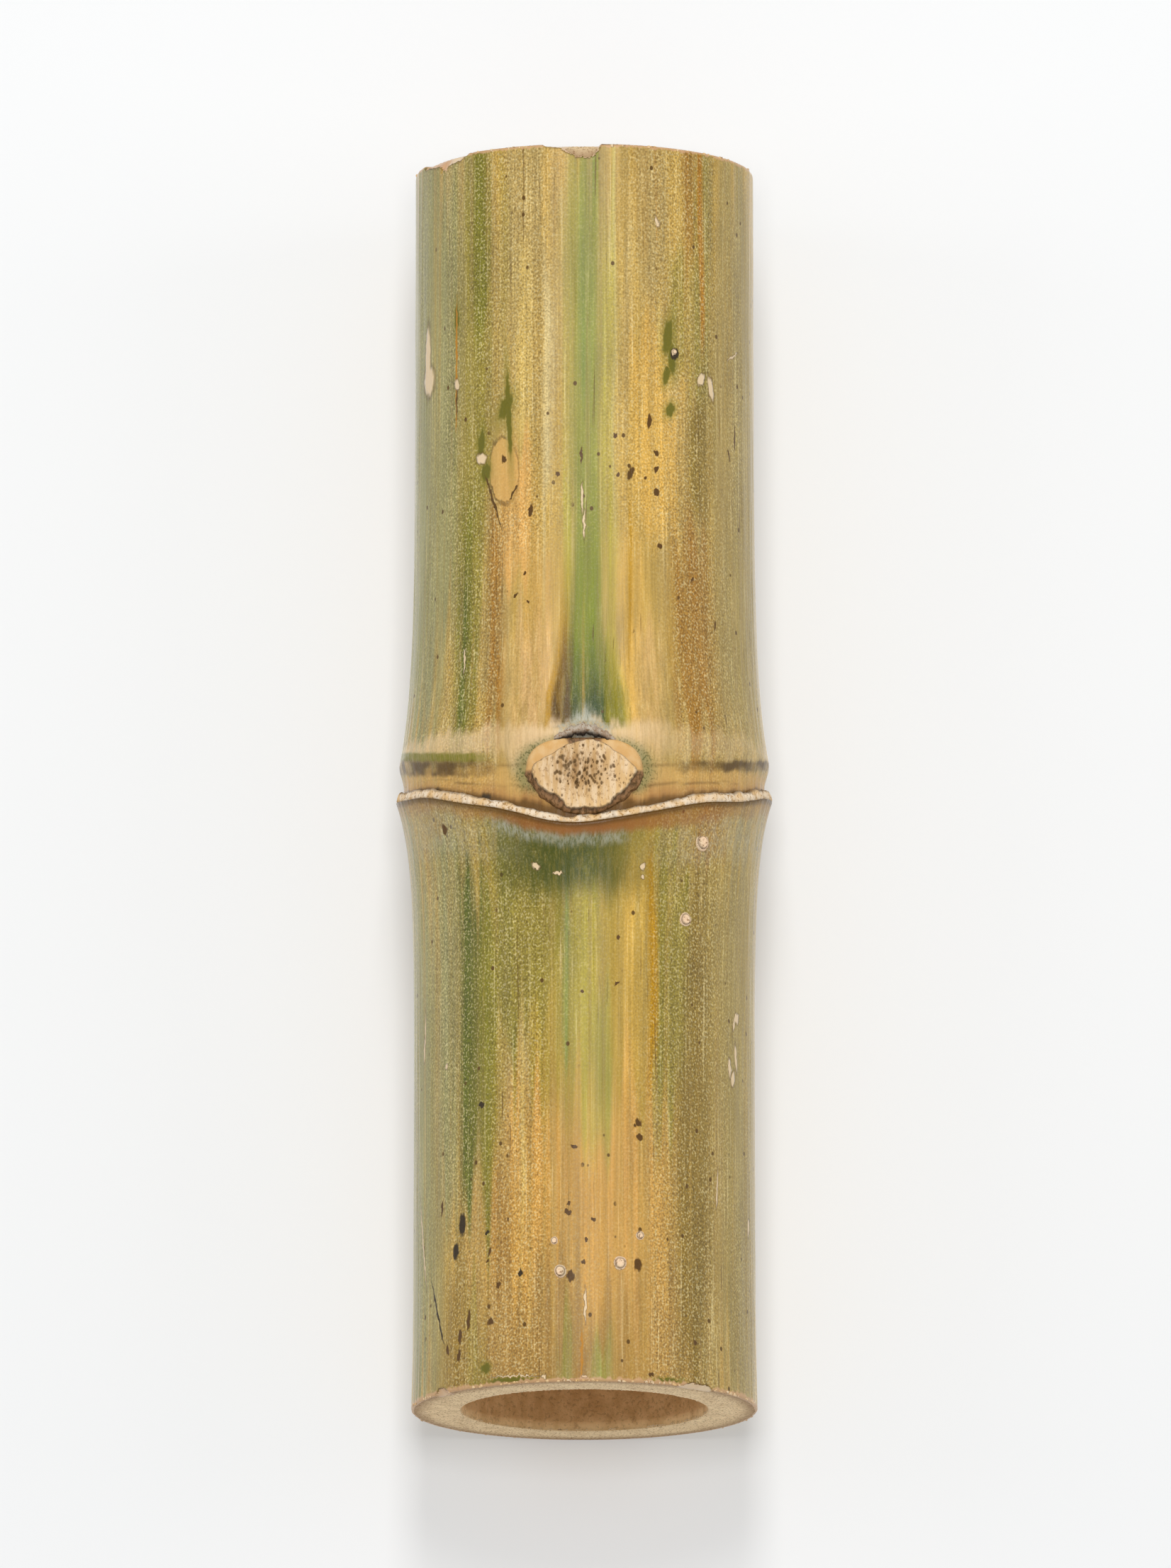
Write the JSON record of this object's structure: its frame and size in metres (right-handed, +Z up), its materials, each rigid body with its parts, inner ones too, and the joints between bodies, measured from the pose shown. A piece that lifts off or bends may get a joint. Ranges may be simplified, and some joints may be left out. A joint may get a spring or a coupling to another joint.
{
  "type": "length of bamboo cane",
  "caption": "Sawn length of thick-walled bamboo cane, lying on its side, with one node, a scar ring and the stub of a cut branch on top.",
  "frame": {"origin": "on the surface that the cane lies on, under the centre of its bounding box", "axes": "+Y along the cane from its lower end to its upper end, level with the surface, +Z up through the branch stub, +X to the right of someone who looks from above with the upper end away from them"},
  "size_m": [0.0664, 0.2234, 0.0671],
  "materials": {
    "cane_skin": "dried cane skin, satin, straw streaked with olive, moss green and brown",
    "sawn_end": "matt sawn cane wall, pale, stippled with the brown ends of its fibre bundles",
    "hollow_wall": "matt warm brown inner wall and partition",
    "scar_ring": "matt pale crumbly edge of the fallen sheath, with darker bark beside it",
    "branch_cut": "matt pale cut branch with brown pits"
  },
  "bodies": {
    "root": {"bamboo_culm": "cane_skin"}
  },
  "joints": []
}
